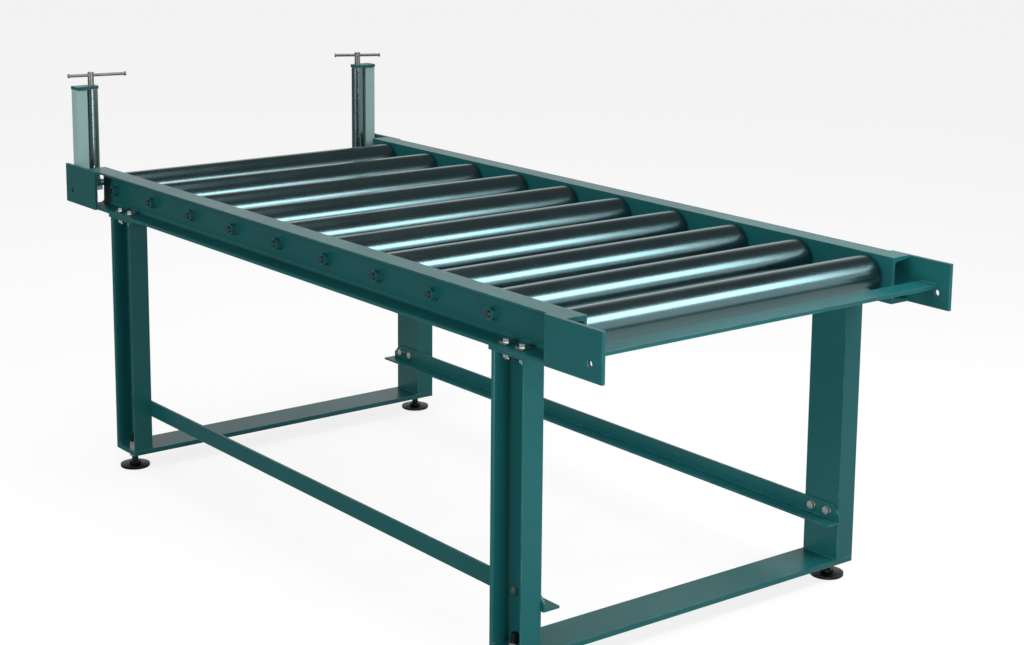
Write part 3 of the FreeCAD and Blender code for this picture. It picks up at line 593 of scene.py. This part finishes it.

# %% [markdown]
# ## Give every solid its finish
# The record names a material slot for each node, so a dictionary from slot to finish dresses
# the whole table. Two kinds of node look unlike the rest of their slot: the guide rollers,
# whose rings run round an upright axis, and the guide posts with their paler paint, which
# is a painted sheen.

# %% Give every solid its finish
finish_of_slot = {
    "frame_paint": frame_paint,
    "roller_steel": roller_tube,
    "nut_dark": nut_paint,
    **small_metals,
}
finish_of_ending = {"guide_roller": guide_tube, "guide_upright": post_sheen_paint}
slot_of_node = {row["node"]: row["material_slot"] for row in frame["record"]["subparts"]}
for name, solid in nodes.items():
    finish = finish_of_slot[slot_of_node[name]]
    for ending, special in finish_of_ending.items():
        if name.endswith(ending):
            finish = special
    if not solid.material_slots:
        solid.data.materials.append(finish)
    for slot in solid.material_slots:
        slot.material = finish
print("solids finished:", len(nodes))

# %% [markdown]
# ## Welds
# The frame is held together with fillet welds under the paint. A hand weld is a row of
# overlapping drops, so each bead is swept along its joint with a small swell at every drop,
# and it tapers off at both ends. The beads are real mesh, so they also hold up from near.

# %% Helpers for swept pieces
def add_piece(name, build, body, slot):
    """Turn a bmesh into a smooth piece that rides on a body of the model."""
    mesh = bpy.data.meshes.new(name)
    bmesh.ops.recalc_face_normals(build, faces=build.faces)
    build.to_mesh(mesh)
    build.free()
    mesh.materials.append(finish_of_slot[slot])
    for face in mesh.polygons:
        face.use_smooth = True
    piece = bpy.data.objects.new(name, mesh)
    bpy.context.scene.collection.objects.link(piece)
    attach(piece, body)
    return piece


def sweep_rings(build, rings):
    """Join rings of points, one after another, and close both ends."""
    made = [[build.verts.new(point) for point in ring] for ring in rings]
    for first, second in zip(made, made[1:]):
        for i in range(len(first)):
            j = (i + 1) % len(first)
            build.faces.new((first[i], first[j], second[j], second[i]))
    build.faces.new(made[0])
    build.faces.new(list(reversed(made[-1])))


def axes_across(along):
    """Two directions at right angles to a direction and to each other."""
    across = along.orthogonal().normalized()
    return across, along.cross(across)


print("helpers ready for swept pieces")

# %% How one bead is swept
DROP_PITCH = 0.0045
LEAST_DROPS = 2
RINGS_PER_DROP = 4
BEAD_SIDES = 10
BEAD_SWELL = 0.16
END_SIZE = 0.35
HAND_SHAKE, HAND_SEED = 0.03, 7
hand = random.Random(HAND_SEED)


def sweep_bead(build, start, finish, radius):
    """One weld bead between two points."""
    start, finish = Vector(start), Vector(finish)
    across, upward = axes_across((finish - start).normalized())
    length = (finish - start).length
    count = max(LEAST_DROPS, round(length / DROP_PITCH)) * RINGS_PER_DROP
    rings = []
    for i in range(count + 1):
        place = start.lerp(finish, i / count)
        to_end = min(i, count - i) / count * length / radius
        roundness = math.sqrt(max(0.0, 1.0 - (1.0 - min(1.0, to_end)) ** 2))
        taper = END_SIZE + (1.0 - END_SIZE) * roundness
        drop = (i % RINGS_PER_DROP) / RINGS_PER_DROP
        swell = 1.0 - BEAD_SWELL * drop + hand.uniform(-HAND_SHAKE, HAND_SHAKE)
        reach = radius * taper * swell
        rings.append([
            place + (across * math.cos(turn) + upward * math.sin(turn)) * reach
            for turn in (math.tau * k / BEAD_SIDES for k in range(BEAD_SIDES))
        ])
    sweep_rings(build, rings)


print("drops in a metre of bead:", round(1 / DROP_PITCH))

# %% All the beads of one body
def add_beads(name, lines, radius, body):
    """All the weld beads of one body that have the same size."""
    build = bmesh.new()
    for start, finish in lines:
        sweep_bead(build, start, finish, radius)
    return add_piece(name, build, body, "frame_paint")


def at_all_corners(lines):
    """The same lines at all four corners of the table."""
    return [
        tuple(Vector((x * end, y * side, z)) for x, y, z in line)
        for line in lines for end in (-1, 1) for side in (-1, 1)
    ]


print("helpers ready for beads")

# %% [markdown]
# ## Welds of the legs
# Each leg is a rolled channel, welded to its head plate above and to the floor tie below. The
# beads run inside the channel at both ends, along the back of the web at the foot, and along
# the outside of the flanges at the top. The lines are worked out from the box of one leg and
# repeated at the other corners, so all four legs stay alike.

# %% Welds of the legs
WEB, FLANGE, ROOT = 0.006, 0.0085, 0.0085
SHORT_OF_EDGE = 0.003
FRAME_BEAD = 0.0035

leg_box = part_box("right_rear_leg")
(leg_x0, web_face, leg_foot), (leg_x1, flange_edge, leg_top) = leg_box
web_outside = web_face + WEB
inner_x0, inner_x1 = leg_x0 + FLANGE, leg_x1 - FLANGE
web_start, flange_end = web_face + SHORT_OF_EDGE, flange_edge - SHORT_OF_EDGE
leg_lines = []
for level in (leg_foot, leg_top):
    leg_lines += [
        ((inner_x0 + ROOT, web_outside, level), (inner_x1 - ROOT, web_outside, level)),
        ((inner_x0, web_outside + ROOT, level), (inner_x0, flange_end, level)),
        ((inner_x1, web_outside + ROOT, level), (inner_x1, flange_end, level)),
    ]
leg_lines.append((
    (leg_x0 + SHORT_OF_EDGE, web_face, leg_foot),
    (leg_x1 - SHORT_OF_EDGE, web_face, leg_foot),
))
for x in (leg_x0, leg_x1):
    leg_lines.append(((x, web_start, leg_top), (x, flange_end, leg_top)))
add_beads("leg_weld_beads", at_all_corners(leg_lines), FRAME_BEAD, "frame")
print("beads on the legs:", len(leg_lines) * len(corners))

# %% [markdown]
# ## Welds of the end plates, cross bars and guide posts
# The end plates are welded to the toes of the rails, the cross bars at both their ends, and
# each guide post to the two plates of its bracket. Their lines come from the boxes of the
# solids as well. Typed coordinates would look the same, but they would stay behind as soon as
# a size changed.

# %% Welds of the end plates, cross bars and guide posts
PLATE_BEAD = 0.0028
POST_BEAD = 0.0022
FLANGE_NEAR, FLANGE_FAR = 0.001, 0.007

plate_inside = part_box("right_rear_end_plate")[0][0]
rail_low, rail_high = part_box("rear_rail")
flange_bands = (
    (rail_low[2] + FLANGE_NEAR, rail_low[2] + FLANGE_FAR),
    (rail_high[2] - FLANGE_FAR, rail_high[2] - FLANGE_NEAR),
)
plate_lines = [
    ((x, rail_high[1], low), (x, rail_high[1], high))
    for x in (plate_inside, rail_high[0]) for low, high in flange_bands
]
add_beads("end_plate_weld_beads", at_all_corners(plate_lines), PLATE_BEAD, "frame")

bar_lines = []
for end in ends:
    low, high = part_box(end + "_cross_bar")
    bar_lines += [
        ((low[0] + SHORT_OF_EDGE, side, level), (high[0] - SHORT_OF_EDGE, side, level))
        for side in (low[1], high[1]) for level in (low[2], high[2])
    ]
add_beads("cross_bar_weld_beads", bar_lines, FRAME_BEAD, "frame")

for front in fronts:
    low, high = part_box(front + "_guide_upright")
    post_lines = [
        ((x, low[1] + SHORT_OF_EDGE, z), (x, high[1] - SHORT_OF_EDGE, z))
        for x in (low[0], high[0]) for z in (low[2], high[2])
    ]
    add_beads(front + "_guide_weld_beads", post_lines, POST_BEAD, front + "_guide")
print("beads on plates:", len(plate_lines) * len(corners), "on bars:", len(bar_lines))

# %% [markdown]
# ## Threads
# Every screw end that shows has its thread: the axle studs past their nuts, the bolts, the
# long stems of the feet and the lower ends of the guide spindles. A thread is a small ridge
# swept along a helix, with the pitch of the metric size. A ridge on top of the solid is far
# lighter than a cut one, and its edge catches the light in the same way.

# %% How one thread is swept
STEPS_PER_TURN = 24
FADE_STEPS = 4
RIDGE = 0.0004
RIDGE_WIDTH = 0.46


def sweep_thread(build, foot, axis, length, radius, pitch):
    """A helical ridge round a rod that starts at foot and runs along axis."""
    foot, axis = Vector(foot), Vector(axis).normalized()
    across, upward = axes_across(axis)
    span = length - pitch
    count = max(STEPS_PER_TURN, round(span / pitch * STEPS_PER_TURN))
    rings = []
    for i in range(count + 1):
        turn = math.tau * i / STEPS_PER_TURN
        outward = across * math.cos(turn) + upward * math.sin(turn)
        middle = foot + axis * (pitch / 2 + span * i / count)
        fade = min(1.0, min(i, count - i) / FADE_STEPS)
        rings.append([
            middle + outward * (radius - RIDGE) - axis * pitch * RIDGE_WIDTH,
            middle + outward * (radius + RIDGE * fade),
            middle + outward * (radius - RIDGE) + axis * pitch * RIDGE_WIDTH,
        ])
    sweep_rings(build, rings)


def add_threads(name, rods, thread, body, slot):
    """The threads of one body that have the same size. A rod is foot, axis and length."""
    radius, pitch = thread
    build = bmesh.new()
    for foot, axis, length in rods:
        sweep_thread(build, foot, axis, length, radius, pitch)
    return add_piece(name, build, body, slot)


print("steps in a turn of thread:", STEPS_PER_TURN)

# %% Threads of the axle studs
# Each metric size has its radius and its pitch.
M16, M14, M12, M10 = (0.008, 0.002), (0.007, 0.002), (0.006, 0.00175), (0.005, 0.0015)
ROLLER_COUNT = 10
AXLE_NUT_AND_WASHER = 0.016
STUD_SHOWS = 0.0038

stud_rods = []
for number in range(1, ROLLER_COUNT + 1):
    low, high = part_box("roller_tube_%d" % number)
    x, z = (low[0] + high[0]) / 2, (low[2] + high[2]) / 2
    for side in (-1, 1):
        stud_foot = (x, (web_outside + AXLE_NUT_AND_WASHER) * side, z)
        stud_rods.append((stud_foot, (0, side, 0), STUD_SHOWS))
add_threads("axle_stud_threads", stud_rods, M16, "frame", "axle_steel")
print("threaded studs:", len(stud_rods))

# %% [markdown]
# ## Threads of the bolts
# The leg bolts hang down through the head plates, and the brace bolts point outwards through
# the webs of the legs. Only the short end beyond each nut shows, so only that gets a ridge.
# It starts where the nut ends, and that comes from the sizes of the nuts.

# %% Threads of the bolts
LEG_BOLT_STEP, LEG_BOLT_REACH, LEG_NUT = 0.025, 0.030, 0.0105
BRACE_BOLT_STEP, BRACE_BOLT_LEVEL, BRACE_NUT = 0.023, 0.164, 0.0085
LEG_BOLT_SHOWS, BRACE_BOLT_SHOWS = 0.0038, 0.0029

leg_middle = (leg_x0 + leg_x1) / 2
leg_rods, brace_rods = [], []
for end in (-1, 1):
    for side in (-1, 1):
        for step in (-1, 1):
            leg_bolt_foot = (
                leg_middle * end + LEG_BOLT_STEP * step,
                (web_face + LEG_BOLT_REACH) * side,
                leg_top - LEG_NUT,
            )
            brace_bolt_foot = (
                leg_middle * end + BRACE_BOLT_STEP * step,
                (web_outside + BRACE_NUT) * side,
                BRACE_BOLT_LEVEL,
            )
            leg_rods.append((leg_bolt_foot, (0, 0, -1), LEG_BOLT_SHOWS))
            brace_rods.append((brace_bolt_foot, (0, side, 0), BRACE_BOLT_SHOWS))
add_threads("leg_bolt_threads", leg_rods, M12, "frame", "bolt_zinc")
add_threads("brace_bolt_threads", brace_rods, M10, "frame", "bolt_zinc")
print("threaded bolts:", len(leg_rods) + len(brace_rods))

# %% [markdown]
# ## Threads of the feet and the guide spindles
# A levelling foot is a pad on a long screw, and a guide spindle ends in a short screw below
# its clamp nut. These threads ride on moving bodies and not on the frame, so that none of them
# stays behind. Each foot and each guide screw therefore has a piece of its own.

# %% Threads of the feet and the guide spindles
STEM_START, STEM_UNTHREADED = 0.0155, 0.0165
SPINDLE_START, SPINDLE_THREAD = 0.0015, 0.012

for corner in corners:
    low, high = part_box(corner + "_levelling_foot")
    foot = ((low[0] + high[0]) / 2, (low[1] + high[1]) / 2, STEM_START)
    stem_rod = (foot, (0, 0, 1), high[2] - STEM_UNTHREADED)
    add_threads(corner + "_foot_threads", [stem_rod], M16, corner + "_foot", "foot_steel")
for front in fronts:
    low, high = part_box(front + "_guide_roller")
    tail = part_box(front + "_guide_spindle")[0][2]
    foot = ((low[0] + high[0]) / 2, (low[1] + high[1]) / 2, tail + SPINDLE_START)
    spindle_rod = (foot, (0, 0, 1), SPINDLE_THREAD)
    add_threads(
        front + "_spindle_threads", [spindle_rod], M14, front + "_guide_screw", "handle_steel")
print("threaded feet and spindles:", len(corners) + len(fronts))
